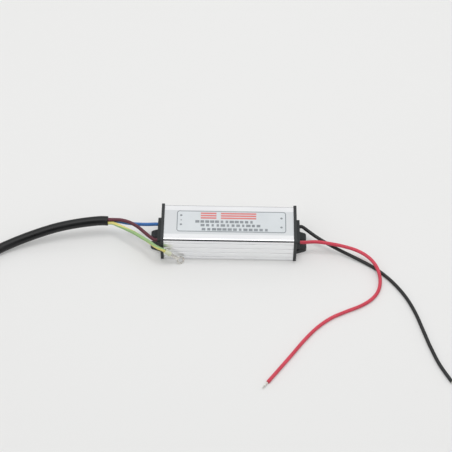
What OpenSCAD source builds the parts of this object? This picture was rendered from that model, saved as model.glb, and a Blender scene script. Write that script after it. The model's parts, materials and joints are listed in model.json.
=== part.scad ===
// Mains LED driver: an extruded tube with two end caps, a board inside, an input cable and two output leads.
// X runs along the tube from the input to the output, Z is up, and the tube stands on Z = 0.

/* [Housing] */
// Length of the extruded tube
case_length = 110; // [106:1:140]
// Width of the tube
case_width = 40; // [38:0.5:50]
// Height of the tube
case_height = 26; // [25:0.5:34]
// Wall of the tube
wall = 1.8; // [1.5:0.1:2.2]
// Outer corner radius of the tube
case_radius = 2.4; // [1:0.1:2.8]
// Grooves along each side
groove_count = 4; // [2:1:5]
// Radius of each groove
groove_radius = 0.5; // [0.3:0.05:0.7]
// Height of the lowest groove, and the same below the top for the highest
groove_margin = 4.5; // [3:0.1:6]

/* [End caps] */
// Thickness of the flange that closes the tube
flange_thickness = 2.6; // [2:0.1:4]
// How far the flange stands proud of the tube at the top and sides
flange_lip = 0.9; // [0.2:0.1:1.2]
// Corner radius of the flange
flange_radius = 2.4; // [1.2:0.1:3]
// Bevel round the outer face of the flange
flange_bevel = 0.5; // [0.2:0.1:0.9]
// Depth of the spigot inside the tube
spigot_depth = 7; // [5:0.5:9]
// Wall of the spigot
spigot_wall = 1.4; // [1:0.1:2]
// Clearance between the spigot and the tube
spigot_gap = 0.15; // [0.1:0.05:0.3]
// Width of the outlet boss
boss_width = 27; // [24:0.5:30]
// Height of the outlet boss
boss_height = 9.2; // [6:0.2:10]
// How far the boss stands out of the flange
boss_rise = 3; // [1:0.1:4]
// Corner radius of the boss
boss_radius = 2.4; // [1:0.1:2.8]

/* [Mounting ears] */
// Length of each ear from the flange
ear_length = 9.1; // [8:0.1:12]
// Width of an ear where it meets the flange
ear_base = 24; // [20:0.5:27]
// Width of an ear at its tip
ear_tip = 17.5; // [14:0.5:19]
// Thickness of an ear
ear_thickness = 3; // [2:0.1:4]
// Corner radius at the tip
ear_radius = 2.4; // [1:0.1:3]
// Width of the open screw slot
slot_width = 5.2; // [4.3:0.1:5.6]
// Distance from the flange to the centre of the slot's round end
slot_reach = 4.6; // [3.8:0.1:5.2]

/* [Label] */
// Length of the label
label_length = 93; // [60:1:100]
// Width of the label
label_width = 23.2; // [12:0.2:32]
// Thickness of the label
label_thickness = 0.15; // [0.1:0.05:0.4]
// Corner radius of the label
label_radius = 2.5; // [1:0.1:4]
// How far the label sits towards the output end
label_shift = 2.1; // [0:0.1:3]
// How far the label's middle sits behind the tube's middle
label_setback = 1; // [0:0.1:3]

/* [Leads] */
// Outer diameter of each lead and core
lead_diameter = 3; // [2.6:0.1:3.2]
// Distance between the two wire holes of a cap
lead_spread = 17.4; // [14:0.2:20]
// Height of the wire holes
lead_height = 12; // [11:0.1:14]
// Clearance of a lead in its hole, all round
lead_gap = 0.1; // [0.05:0.05:0.3]
// Inner radius of a lead's bend down to the board
lead_bend = 1.4; // [1.2:0.1:2]
// Diameter of the stranded conductor
conductor_diameter = 1.4; // [1:0.1:1.6]
// Length of the tinned bare ends
bare_end = 7; // [4:0.5:10]
// Outer diameter of the jacketed input cable
cable_diameter = 8.2; // [7.6:0.1:9]

/* [Earth ring] */
// Outer diameter of the ring
ring_diameter = 7; // [6.5:0.1:8]
// Hole of the ring
ring_hole = 4.3; // [3.2:0.1:4.5]
// Thickness of the ring and its tongue
ring_thickness = 0.8; // [0.5:0.1:1]
// Length of the crimped barrel
barrel_length = 6; // [4:0.5:7]
// Outer diameter of the barrel
barrel_diameter = 4.2; // [3.8:0.1:4.6]
// Distance from the barrel to the ring's centre
tongue_length = 12; // [8:0.5:12]
// Bend of the tongue below the barrel's line, in degrees
tongue_bend = 6; // [0:1:10]
// Roll of the flat ring about the barrel's line, in degrees
terminal_roll = 50; // [40:5:60]

/* [Board] */
// Thickness of the board
board_thickness = 1.6; // [1.2:0.1:2]
// Height of the board's underside
board_level = 5.4; // [5:0.1:6.5]
// Gap between the board's edge and the tube wall
edge_gap = 0.3; // [0.2:0.1:0.5]
// Gap between the board's end and the spigot
end_gap = 0.4; // [0.2:0.1:1]
// How far each rail stands in from the wall
rail_reach = 1.3; // [1:0.1:1.6]
// Thickness of each rail
rail_thickness = 1.2; // [0.8:0.1:1.6]
// Clearance above the board between its rails
rail_gap = 0.2; // [0.1:0.05:0.4]
// Thickness of the insulating film under the board
sheet_thickness = 0.4; // [0.2:0.1:0.6]
// Diameter of component pins
pin_diameter = 0.7; // [0.5:0.05:0.9]
// Clearance of a pin in its hole, all round
pin_gap = 0.1; // [0.05:0.05:0.2]
// How far pins stand out below the board
pin_tail = 1.4; // [1:0.1:1.8]
// Clear margin between components and the board's long edges
margin = 2; // [1.7:0.1:2.4]

/* [Components] */
// Fuse diameter
fuse_diameter = 3.6; // [3:0.1:4.5]
// Fuse body length
fuse_length = 8; // [6:0.5:9]
// Varistor disc diameter
varistor_diameter = 9; // [7:0.5:10]
// Varistor disc thickness
varistor_thickness = 3.6; // [3:0.1:4.2]
// Line filter capacitor, along the board
line_cap_length = 6; // [5:0.5:6.5]
// Line filter capacitor, across the board
line_cap_width = 13; // [10:0.5:14]
// Line filter capacitor, height
line_cap_height = 11; // [9:0.5:12]
// Filter choke diameter
choke_diameter = 8.6; // [7:0.2:9]
// Filter choke height
choke_height = 10; // [8:0.5:12]
// Bulk capacitor diameter
bulk_diameter = 12.5; // [10:0.5:13]
// Bulk capacitor length
bulk_length = 20; // [16:0.5:21]
// Transformer core width, along the board
core_width = 19; // [17:0.5:20]
// Transformer core depth, across the board
core_depth = 16; // [14:0.5:17]
// Transformer core thickness
core_thickness = 5; // [4:0.2:6]
// Thickness of the transformer's winding round its bobbin
winding_build = 2.9; // [2:0.1:3]
// Output capacitor diameter
output_cap_diameter = 10; // [8:0.5:10.5]
// Output capacitor height
output_cap_height = 14; // [10:0.5:15]
// Output diode diameter
diode_diameter = 5.2; // [4:0.1:5.6]
// Output diode body length
diode_length = 9.4; // [8:0.2:10]

/* [Hidden] */
$fn = 40;
cut = 1;

// Board and tube values that other pieces take their place from
cavity_width = case_width - 2 * wall;
cavity_height = case_height - 2 * wall;
cavity_radius = 0.6;
board_length = case_length - 2 * (spigot_depth + end_gap);
board_width = cavity_width - 2 * edge_gap;
board_top = board_level + board_thickness;
upper_rail = board_top + rail_gap;
input_end = -board_length / 2;
output_end = board_length / 2;
front_edge = -board_width / 2 + margin;
back_edge = board_width / 2 - margin;
outlet_face = case_length / 2 + flange_thickness + boss_rise;
groove_pitch = (case_height - 2 * groove_margin) / (groove_count - 1);

// Wire pads: where the four leads go through the board
pad_inset = 5;
elbow_radius = lead_bend + lead_diameter / 2;
insulation_lift = 0.5;
solder_width = 2.2;
conductor_solder_width = 2.8;
solder_height = 1;

// Places of the components along the board and across it
// They were set out on a board 95.2 mm long, and they spread out or close up with it
function along(x) = input_end + x * board_length / 95.2;
fuse_place = [along(14.5), front_edge + fuse_diameter / 2];
fuse_pitch = 13;
varistor_place = [along(11.5), back_edge - varistor_diameter / 2];
varistor_pitch = 5;
standoff = 1;
line_cap_place = [along(20.5), back_edge - line_cap_width / 2];
line_cap_pitch = 10;
choke_place = [along(27.5), front_edge + choke_diameter / 2];
choke_pitch = 5;
rectifier_size = [8.4, 6.4, 3.2];
rectifier_place = [along(38), front_edge + rectifier_size.y / 2];
rectifier_pitch = [5.1, 6.4];
bulk_place = [along(38.5) - bulk_length / 2, back_edge - bulk_diameter / 2];
bulk_pitch = 5;
bulk_lead_run = 2;
controller_size = [4.9, 3.9, 1.5];
controller_place = [along(38), front_edge + 12.3];
transistor_size = [6.6, 6.1, 2.3];
transistor_place = [along(47), front_edge + 4.5];
snubber_diode_diameter = 2.7;
snubber_diode_length = 5.2;
snubber_diode_pitch = 8;
snubber_diode_place = [along(46.5), front_edge + 14.1];
output_cap_place = [along(81.2), back_edge - output_cap_diameter / 2];
output_cap_pitch = 5;
diode_place = [along(79.2), front_edge + diode_diameter / 2];
diode_pitch = 14;
transformer_place = [(along(50) + output_cap_place.x - output_cap_diameter / 2 - 0.5) / 2, 0];
disc_thickness = 3;
snubber_cap_diameter = 6;
snubber_cap_place = [transformer_place.x - 4, front_edge + disc_thickness / 2];
isolation_cap_diameter = 7.5;
isolation_cap_place = [transformer_place.x - 1, back_edge - disc_thickness / 2];
disc_pitch = 5;
sense_size = [3.2, 1.6, 0.6];
sense_pitch = 3;
sense_place = [along(40), 0];

// Transformer: core legs, bobbin walls and the height at which the core lies
leg_width = core_width / 4;
core_back = core_width / 8 + 0.2;
leg_length = core_depth / 2 - core_back;
core_lift = 4.6;
core_level = board_top + core_lift;
core_middle = core_level + core_thickness / 2;
bobbin_gap = 0.15;
bobbin_wall = 0.7;
bobbin_length = 2 * leg_length - 2 * bobbin_gap;
bobbin_bore = [leg_width + 2 * bobbin_gap, core_thickness + 2 * bobbin_gap];
bobbin_tube = bobbin_bore + 2 * [bobbin_wall, bobbin_wall];
winding_size = bobbin_tube + 2 * [winding_build, winding_build];
bobbin_flange = 0.7;
bobbin_overhang = 0.8;
bobbin_rail_start = bobbin_length / 2 - bobbin_flange;
bobbin_rail_end = core_depth / 2 + bobbin_overhang;
bobbin_rail = [core_width - 4, bobbin_rail_end - bobbin_rail_start, core_lift - bobbin_gap];
bobbin_rail_y = (bobbin_rail_start + bobbin_rail_end) / 2;
bobbin_pin_pitch = 5;
bobbin_pin_y = bobbin_rail_end - 1.6;

// Pin positions, shared by the components and by the holes in the board
function pair_x(place, pitch) = [for (s = [-1, 1]) [place.x + s * pitch / 2, place.y]];
function pair_y(place, pitch) = [for (s = [-1, 1]) [place.x, place.y + s * pitch / 2]];
fuse_pins = pair_x(fuse_place, fuse_pitch);
varistor_pins = pair_y(varistor_place, varistor_pitch);
line_cap_pins = pair_y(line_cap_place, line_cap_pitch);
choke_pins = pair_y(choke_place, choke_pitch);
rectifier_pins = [for (p = pair_x(rectifier_place, rectifier_pitch.x)) each pair_y(p, rectifier_pitch.y - 1)];
bulk_pins = pair_y([bulk_place.x - bulk_lead_run, bulk_place.y], bulk_pitch);
snubber_diode_pins = pair_y(snubber_diode_place, snubber_diode_pitch);
snubber_cap_pins = pair_x(snubber_cap_place, disc_pitch);
isolation_cap_pins = pair_x(isolation_cap_place, disc_pitch);
output_cap_pins = pair_y(output_cap_place, output_cap_pitch);
diode_pins = pair_x(diode_place, diode_pitch);
bobbin_pins = [for (s = [-1, 1]) for (k = [-1 : 1])
    transformer_place + [k * bobbin_pin_pitch, s * bobbin_pin_y]];
component_pins = concat(fuse_pins, varistor_pins, line_cap_pins, choke_pins, rectifier_pins, bulk_pins,
    snubber_diode_pins, snubber_cap_pins, isolation_cap_pins, output_cap_pins, diode_pins, bobbin_pins);
wire_pads = [for (sx = [-1, 1]) for (sy = [-1, 1]) [sx * (output_end - pad_inset), sy * lead_spread / 2]];

// Routes of the free leads and cores, point by point
red_route = [[60.6, -8.7, 12], [64.6, -8.7, 12], [74, -8, 12.1], [86, -9, 11.3], [98, -10.8, 10],
    [109, -13.6, 8.4], [117, -17.8, 6.9], [122.6, -23.2, 5.7], [126, -29.6, 4.9], [127.9, -37, 3.6],
    [127.9, -45, 2.2], [125.4, -53.2, 1.5], [120, -60.6, 1.5], [111, -67.4, 1.5], [99, -73.4, 1.5],
    [86.4, -80.2, 1.5], [74.6, -90, 1.5], [64, -102.4, 1.5], [52, -119.2, 1.5], [40, -135.8, 1.5],
    [33, -145.4, 1.5]];
black_route = [[60.6, 8.7, 12], [62.6, 8.7, 12], [67, 5.6, 11.2], [74, 0.4, 9.6], [83, -4.8, 7.4],
    [94, -10.2, 4.9], [105, -15.4, 2.9], [115, -20.8, 1.8], [124.6, -27.4, 1.5], [133.4, -35.8, 1.5],
    [141.7, -46, 1.5], [149.3, -58.4, 1.5], [155.7, -73.6, 1.5], [160.7, -90.6, 1.5], [165.6, -107.6, 1.5],
    [171.8, -125.2, 1.5], [180.4, -142, 1.5]];
brown_route = [[-60.6, -8.7, 12], [-63, -8.7, 12], [-67, -6.2, 12.7], [-72.4, -2, 14.3], [-78, 2.4, 15.8],
    [-84.6, 6, 16.9], [-92, 8.4, 17.1], [-99, 9, 16.75], [-103.6, 9, 16.75]];
blue_route = [[-60.6, 8.7, 12], [-64, 8.7, 12], [-70, 8.3, 12], [-78, 8.1, 12.4], [-86, 8.4, 13],
    [-93, 9.4, 13.6], [-99.6, 10.52, 14.12], [-103.6, 10.52, 14.12]];
earth_route = [[-103.6, 7.48, 14.12], [-100, 7.48, 14.12], [-94.6, 4.8, 14.1], [-88, 1, 14.4],
    [-81, -3.6, 15], [-74, -9.2, 15.8], [-67.6, -14.8, 16.9], [-62.4, -19.9, 17.7], [-58.6, -22.6, 17.8],
    [-55.8, -22.9, 16.6], [-53.8, -23.1, 15]];
mains_route = [[-103.6, 9, 15], [-110, 9, 15], [-121, 7.6, 14.8], [-134, 5.4, 14], [-147, 2.8, 12.4],
    [-160, -0.7, 10.2], [-172, -4.6, 7.9], [-184, -9.4, 5.8], [-195, -15.2, 4.5], [-205, -23.4, 4.1],
    [-212, -36, 4.1], [-216, -52, 4.1], [-216.6, -72, 4.1], [-214, -94, 4.1], [-212, -116, 4.1],
    [-212, -138, 4.1]];
brown_end_route = [[-212, -138, 5.85], [-212, -142, 5.85], [-211, -151, 2.4], [-209.4, -158, 1.5],
    [-207.8, -163, 1.5]];
blue_end_route = [[-213.52, -138, 3.22], [-213.52, -142, 3.22], [-216, -151, 1.5], [-220.4, -163, 1.5]];
earth_end_route = [[-210.48, -138, 3.22], [-210.48, -142, 3.22], [-206.4, -151, 1.5], [-200, -160.4, 1.5]];

// Rounded outlines: each corner is trimmed to its tangent points and filled with a circle
function unit(v) = v / norm(v);
function bend_half(a, b, c) = acos(unit(a - b) * unit(c - b)) / 2;
function trimmed(a, b, c, r) = let (t = r / tan(bend_half(a, b, c))) [b + t * unit(a - b), b + t * unit(c - b)];
function round_centre(a, b, c, r) = b + r / sin(bend_half(a, b, c)) * unit(unit(a - b) + unit(c - b));
module rounded_polygon(points, radii) {
    n = len(points);
    polygon([for (i = [0 : n - 1])
        each trimmed(points[(i + n - 1) % n], points[i], points[(i + 1) % n], radii[i])]);
    for (i = [0 : n - 1])
        if (radii[i] > 0)
            translate(round_centre(points[(i + n - 1) % n], points[i], points[(i + 1) % n], radii[i]))
                circle(r = radii[i]);
}
module rounded_box(size, radius) {
    x = size.x / 2;
    y = size.y / 2;
    rounded_polygon([[-x, -y], [x, -y], [x, y], [-x, y]], [radius, radius, radius, radius]);
}

// Extrusion along X of an outline drawn in Y and Z
module along_x(length) {
    rotate([90, 0, 90]) linear_extrude(length) children();
}

// Swept tube of flat sides along a route
function heading(route, i) = unit(route[min(i + 1, len(route) - 1)] - route[max(i - 1, 0)]);
function ring_points(route, i, r, n) =
    let (t = heading(route, i), s = unit(cross(t, [0, 0, 1])), u = cross(s, t))
    [for (k = [0 : n - 1]) let (a = 360 * (k + 0.5) / n) route[i] + r * (cos(a) * s + sin(a) * u)];
module tube(route, diameter, n = 8) {
    last = len(route) - 1;
    points = [for (i = [0 : last]) each ring_points(route, i, diameter / 2, n)];
    sides = [for (i = [0 : last - 1]) for (k = [0 : n - 1])
        let (a = i * n + k, b = i * n + (k + 1) % n)
        each [[a, b, b + n], [a, b + n, a + n]]];
    ends = [[for (k = [n - 1 : -1 : 0]) k], [for (k = [0 : n - 1]) last * n + k]];
    polyhedron(points, concat(sides, ends));
}
// A bare end that carries on in the direction in which a route stops
module bare_tip(route) {
    stop = route[len(route) - 1];
    tube([stop, stop + bare_end * heading(route, len(route) - 1)], conductor_diameter);
}

// Pins through the board, each with its solder cone below
module pin(top, diameter = pin_diameter, solder = solder_width) {
    low = board_level - pin_tail;
    translate([0, 0, low]) cylinder(d = diameter, h = top - low);
    translate([0, 0, board_level - solder_height])
        cylinder(d1 = diameter + 0.2, d2 = solder, h = solder_height);
}
module pins(places, top) {
    for (p = places) translate(p) pin(top);
}
// A wire that leaves a lying component and bends down into the board
module lying_pins(places, centre, height) {
    for (p = places) {
        run = norm(centre - p);
        translate(p) {
            pin(height);
            translate([0, 0, height]) sphere(d = pin_diameter);
            translate([0, 0, height]) rotate([0, 90, atan2(centre.y - p.y, centre.x - p.x)])
                cylinder(d = pin_diameter, h = run);
        }
    }
}

// Tube of the housing, with its side grooves and board rails
module rails() {
    for (side = [-1, 1])
        for (z = [board_level - rail_thickness, upper_rail])
            translate([side * (cavity_width / 2 - rail_reach / 2 + cut / 2), z + rail_thickness / 2])
                square([rail_reach + cut, rail_thickness], center = true);
}
module housing() {
    color([0.86, 0.87, 0.88]) translate([-case_length / 2, 0, 0]) along_x(case_length)
        difference() {
            translate([0, case_height / 2]) rounded_box([case_width, case_height], case_radius);
            difference() {
                translate([0, case_height / 2]) rounded_box([cavity_width, cavity_height], cavity_radius);
                rails();
            }
            for (side = [-1, 1])
                for (i = [0 : groove_count - 1])
                    translate([side * case_width / 2, groove_margin + i * groove_pitch])
                        circle(r = groove_radius);
        }
}

// Foil label on the top face
module label() {
    color([0.82, 0.86, 0.87]) translate([label_shift, label_setback, case_height])
        linear_extrude(label_thickness) rounded_box([label_length, label_width], label_radius);
}

// End cap, drawn at the output end with the tube's end face at X = 0
module flange() {
    width = case_width + 2 * flange_lip;
    height = case_height + flange_lip;
    t = flange_thickness;
    b = flange_bevel;
    intersection() {
        translate([0, 0, height / 2]) along_x(t) rounded_box([width, height], flange_radius);
        rotate([90, 0, 0]) linear_extrude(width + cut, center = true)
            polygon([[0, 0], [t - b, 0], [t, b], [t, height - b], [t - b, height], [0, height]]);
        linear_extrude(height + cut)
            polygon([[0, -width / 2], [t - b, -width / 2], [t, b - width / 2], [t, width / 2 - b],
                [t - b, width / 2], [0, width / 2]]);
    }
}
spigot_size = [cavity_width, cavity_height] - 2 * [spigot_gap, spigot_gap];
spigot_bore = spigot_size - 2 * [spigot_wall, spigot_wall];
module spigot() {
    notch_low = board_level - rail_thickness - spigot_gap;
    notch_high = upper_rail + rail_thickness + spigot_gap;
    translate([-spigot_depth, 0, 0]) along_x(spigot_depth) difference() {
        translate([0, case_height / 2]) rounded_box(spigot_size, cavity_radius);
        translate([0, case_height / 2]) square(spigot_bore, center = true);
        translate([-case_width / 2, notch_low]) square([case_width, notch_high - notch_low]);
    }
}
module ear() {
    reach = flange_thickness + ear_length;
    slot_x = flange_thickness + slot_reach;
    difference() {
        linear_extrude(ear_thickness)
            rounded_polygon([[cut, -ear_base / 2], [flange_thickness, -ear_base / 2], [reach, -ear_tip / 2],
                [reach, ear_tip / 2], [flange_thickness, ear_base / 2], [cut, ear_base / 2]],
                [0, 0, ear_radius, ear_radius, 0, 0]);
        translate([slot_x, 0, -cut]) cylinder(d = slot_width, h = ear_thickness + 2 * cut);
        translate([slot_x, -slot_width / 2, -cut]) cube([ear_length, slot_width, ear_thickness + 2 * cut]);
    }
}
module wire_holes(radius, low, high) {
    for (side = [-1, 1])
        translate([low, side * lead_spread / 2, lead_height]) rotate([0, 90, 0])
            cylinder(r = radius, h = high - low);
}
module end_cap() {
    difference() {
        union() {
            flange();
            spigot();
            ear();
            translate([0, 0, lead_height]) along_x(flange_thickness + boss_rise)
                rounded_box([boss_width, boss_height], boss_radius);
        }
        wire_holes(lead_diameter / 2 + lead_gap, -cut, flange_thickness + boss_rise + cut);
    }
}
module output_cap() {
    color([0.17, 0.18, 0.19]) translate([case_length / 2, 0, 0]) end_cap();
}
module input_cap() {
    color([0.17, 0.18, 0.19]) mirror([1, 0, 0]) translate([case_length / 2, 0, 0]) end_cap();
}

// Sealing compound that fills the spigot round the two wires
sealant_depth = spigot_depth - 1;
module sealant() {
    translate([case_length / 2 - sealant_depth, 0, 0]) difference() {
        translate([0, 0, case_height / 2]) along_x(sealant_depth) square(spigot_bore, center = true);
        wire_holes(lead_diameter / 2, -cut, sealant_depth + cut);
    }
}
module output_sealant() {
    color([0.9, 0.9, 0.88]) sealant();
}
module input_sealant() {
    color([0.9, 0.9, 0.88]) mirror([1, 0, 0]) sealant();
}

// End of a lead inside: straight through the cap, round a bend and into the board
module tail(end, side) {
    pad = output_end - pad_inset;
    bend_x = pad + elbow_radius;
    strip = board_top + insulation_lift;
    mirror([end < 0 ? 1 : 0, 0, 0]) translate([0, side * lead_spread / 2, 0]) {
        translate([bend_x, 0, lead_height]) rotate([0, 90, 0])
            cylinder(d = lead_diameter, h = outlet_face - bend_x);
        translate([bend_x, 0, lead_height - elbow_radius]) rotate([90, 0, 180])
            rotate_extrude(angle = 90) translate([elbow_radius, 0]) circle(d = lead_diameter);
        translate([pad, 0, strip]) cylinder(d = lead_diameter, h = lead_height - elbow_radius - strip);
        translate([pad, 0, 0]) pin(strip + cut, conductor_diameter, conductor_solder_width);
    }
}
module live_tail() {
    color([0.38, 0.2, 0.16]) tail(-1, -1);
}
module neutral_tail() {
    color([0.1, 0.32, 0.65]) tail(-1, 1);
}
module positive_tail() {
    color([0.8, 0.1, 0.16]) tail(1, -1);
}
module negative_tail() {
    color([0.08, 0.08, 0.09]) tail(1, 1);
}

// Board, with a hole for each pin and each lead
module pcb() {
    color([0.12, 0.4, 0.24]) difference() {
        translate([input_end, -board_width / 2, board_level])
            cube([board_length, board_width, board_thickness]);
        for (p = component_pins)
            translate([p.x, p.y, board_level - cut])
                cylinder(d = pin_diameter + 2 * pin_gap, h = board_thickness + 2 * cut);
        for (p = wire_pads)
            translate([p.x, p.y, board_level - cut])
                cylinder(d = conductor_diameter + 2 * pin_gap, h = board_thickness + 2 * cut);
    }
}
module insulation_sheet() {
    size = [board_length, cavity_width - 2 * cavity_radius];
    color([0.93, 0.93, 0.85]) translate([0, 0, wall]) linear_extrude(sheet_thickness) square(size, center = true);
}

// Input side components
module fuse() {
    height = board_top + fuse_diameter / 2;
    ferrule = fuse_length / 5;
    color([0.75, 0.77, 0.74]) union() {
        translate([fuse_place.x - fuse_length / 2, fuse_place.y, height]) rotate([0, 90, 0]) {
            cylinder(d = fuse_diameter - 0.4, h = fuse_length);
            cylinder(d = fuse_diameter, h = ferrule);
            translate([0, 0, fuse_length - ferrule]) cylinder(d = fuse_diameter, h = ferrule);
        }
        lying_pins(fuse_pins, fuse_place, height);
    }
}
// Upright disc with two pins, its face across X or across Y
module disc(place, places, diameter, thickness, turn) {
    middle = board_top + standoff + diameter / 2;
    translate([place.x, place.y, middle]) rotate([90, 0, turn])
        rotate_extrude() translate([0, -thickness / 2]) rounded_half(diameter / 2, thickness);
    pins(places, middle - diameter / 4);
}
// Half section of a coated disc with a rounded rim
module rounded_half(radius, thickness) {
    rim = thickness / 2;
    square([radius - rim, thickness]);
    translate([radius - rim, rim]) intersection() {
        circle(r = rim);
        translate([0, -rim]) square([rim, thickness]);
    }
}
module varistor() {
    color([0.1, 0.25, 0.6]) disc(varistor_place, varistor_pins, varistor_diameter, varistor_thickness, 90);
}
module line_capacitor() {
    size = [line_cap_length, line_cap_width];
    color([0.9, 0.75, 0.15]) union() {
        translate([line_cap_place.x, line_cap_place.y, board_top])
            linear_extrude(line_cap_height) rounded_box(size, 0.5);
        pins(line_cap_pins, board_top + 1);
    }
}
choke_flange = 1.6;
choke_neck = choke_diameter * 0.45;
module choke_core() {
    r = choke_diameter / 2;
    color([0.25, 0.25, 0.27]) union() {
        translate([choke_place.x, choke_place.y, board_top]) rotate_extrude()
            polygon([[0, 0], [r, 0], [r, choke_flange], [choke_neck / 2, choke_flange],
                [choke_neck / 2, choke_height - choke_flange], [r, choke_height - choke_flange],
                [r, choke_height], [0, choke_height]]);
        pins(choke_pins, board_top + choke_flange / 2);
    }
}
module choke_winding() {
    depth = choke_diameter / 2 - choke_neck / 2 - 0.4;
    color([0.72, 0.4, 0.2]) translate([choke_place.x, choke_place.y, board_top + choke_flange])
        rotate_extrude() translate([choke_neck / 2, 0]) square([depth, choke_height - 2 * choke_flange]);
}
module bridge_rectifier() {
    size = rectifier_size;
    lift = 0.8;
    color([0.13, 0.13, 0.14]) union() {
        translate([rectifier_place.x, rectifier_place.y, board_top + lift])
            linear_extrude(size.z) rounded_box([size.x, size.y], 0.4);
        pins(rectifier_pins, board_top + lift + size.z / 2);
    }
}
// Section of an electrolytic can: rolled rim, crimp groove and rounded far end
module can_section(diameter, length) {
    r = diameter / 2;
    rim = 0.8;
    crimp = 0.5;
    difference() {
        union() {
            square([r, length - rim]);
            square([r - rim, length]);
            translate([r - rim, length - rim]) circle(r = rim);
        }
        translate([r, 2 * rim]) circle(r = crimp);
        translate([-rim, -cut]) square([r - rim, cut + crimp]);
        translate([-diameter, -cut]) square([diameter, length + 2 * cut]);
    }
}
module bulk_capacitor() {
    height = board_top + bulk_diameter / 2;
    color([0.12, 0.13, 0.2]) union() {
        translate([bulk_place.x, bulk_place.y, height]) rotate([0, 90, 0])
            rotate_extrude() can_section(bulk_diameter, bulk_length);
        for (p = bulk_pins)
            lying_pins([p], p + [bulk_lead_run + 1, 0], height);
    }
}

// Switching components
// Bent leg of a surface part: foot on the board, shoulder in the body
module gull_leg(width, reach, height, sheet = 0.25) {
    knee = reach * 0.45;
    rotate([90, 0, 0]) linear_extrude(width, center = true)
        polygon([[-0.4, height], [knee, height], [knee + sheet, sheet], [reach, sheet], [reach, 0],
            [knee, 0], [knee - sheet, height - sheet], [-0.4, height - sheet]]);
}
module controller() {
    size = controller_size;
    leg_pitch = 1.27;
    color([0.1, 0.1, 0.11]) translate([controller_place.x, controller_place.y, board_top]) {
        translate([0, 0, 0.15]) linear_extrude(size.z) square([size.x, size.y], center = true);
        for (side = [-1, 1])
            for (i = [-1.5 : 1 : 1.5])
                translate([i * leg_pitch, side * size.y / 2, 0]) rotate([0, 0, side * 90])
                    gull_leg(0.42, 1.05, size.z / 2);
    }
}
module switch_transistor() {
    size = transistor_size;
    tab = [5.3, 1.4, 0.5];
    leg_pitch = 2.28;
    color([0.14, 0.14, 0.15]) translate([transistor_place.x, transistor_place.y, board_top]) {
        linear_extrude(size.z) square([size.x, size.y], center = true);
        translate([-tab.x / 2, size.y / 2 - cut, 0]) cube([tab.x, tab.y + cut, tab.z]);
        for (side = [-1, 1])
            translate([side * leg_pitch, -size.y / 2, 0]) rotate([0, 0, -90]) gull_leg(0.8, 1.9, size.z / 2, 0.5);
    }
}
module snubber_diode() {
    height = board_top + snubber_diode_diameter / 2;
    color([0.15, 0.15, 0.16]) union() {
        translate([snubber_diode_place.x, snubber_diode_place.y, height]) rotate([90, 0, 0])
            cylinder(d = snubber_diode_diameter, h = snubber_diode_length, center = true);
        lying_pins(snubber_diode_pins, snubber_diode_place, height);
    }
}
module snubber_capacitor() {
    color([0.75, 0.45, 0.2]) disc(snubber_cap_place, snubber_cap_pins, snubber_cap_diameter, disc_thickness, 0);
}
module sense_resistors() {
    color([0.15, 0.15, 0.16])
        for (i = [-1 : 1])
            translate([sense_place.x, sense_place.y + i * sense_pitch, board_level - sense_size.z / 2])
                cube(sense_size, center = true);
}

// Transformer: two E halves, the bobbin on their middle leg and the taped winding
module core_half(turn) {
    w = core_width / 2;
    h = core_depth / 2;
    half_leg = leg_width / 2;
    window = w - half_leg;
    translate([transformer_place.x, transformer_place.y, core_level]) rotate([0, 0, turn])
        linear_extrude(core_thickness)
            polygon([[-w, h], [-w, 0], [-window, 0], [-window, leg_length], [-half_leg, leg_length],
                [-half_leg, 0], [half_leg, 0], [half_leg, leg_length], [window, leg_length], [window, 0],
                [w, 0], [w, h]]);
}
module transformer_core_rear() {
    color([0.2, 0.2, 0.22]) core_half(0);
}
module transformer_core_front() {
    color([0.2, 0.2, 0.22]) core_half(180);
}
module transformer_bobbin() {
    flange_size = [core_width - 2 * (leg_width / 2 + bobbin_gap), core_middle - board_top + winding_size.y / 2];
    color([0.2, 0.2, 0.21]) translate([transformer_place.x, transformer_place.y, 0]) difference() {
        union() {
            translate([0, 0, core_middle]) rotate([90, 0, 0])
                linear_extrude(bobbin_length, center = true) square(bobbin_tube, center = true);
            for (side = [-1, 1]) {
                translate([0, side * (bobbin_length - bobbin_flange) / 2, board_top + flange_size.y / 2])
                    cube([flange_size.x, bobbin_flange, flange_size.y], center = true);
                translate([0, side * bobbin_rail_y, board_top + bobbin_rail.z / 2])
                    cube(bobbin_rail, center = true);
                for (k = [-1 : 1])
                    translate([k * bobbin_pin_pitch, side * bobbin_pin_y, 0]) pin(board_top + cut);
            }
        }
        translate([0, 0, core_middle]) rotate([90, 0, 0])
            linear_extrude(core_depth, center = true) square(bobbin_bore, center = true);
    }
}
module transformer_winding() {
    length = bobbin_length - 2 * bobbin_flange;
    color([0.9, 0.78, 0.25]) translate([transformer_place.x, transformer_place.y, core_middle])
        rotate([90, 0, 0]) linear_extrude(length, center = true) difference() {
            rounded_box(winding_size, winding_build / 2);
            square(bobbin_tube, center = true);
        }
}
module isolation_capacitor() {
    color([0.15, 0.35, 0.7])
        disc(isolation_cap_place, isolation_cap_pins, isolation_cap_diameter, disc_thickness, 0);
}

// Output side components
module output_diode() {
    height = board_top + diode_diameter / 2;
    color([0.13, 0.13, 0.14]) union() {
        translate([diode_place.x, diode_place.y, height]) rotate([0, 90, 0])
            cylinder(d = diode_diameter, h = diode_length, center = true);
        lying_pins(diode_pins, diode_place, height);
    }
}
module output_capacitor() {
    color([0.12, 0.13, 0.2]) union() {
        translate([output_cap_place.x, output_cap_place.y, board_top])
            rotate_extrude() can_section(output_cap_diameter, output_cap_height);
        pins(output_cap_pins, board_top + 1);
    }
}

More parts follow.
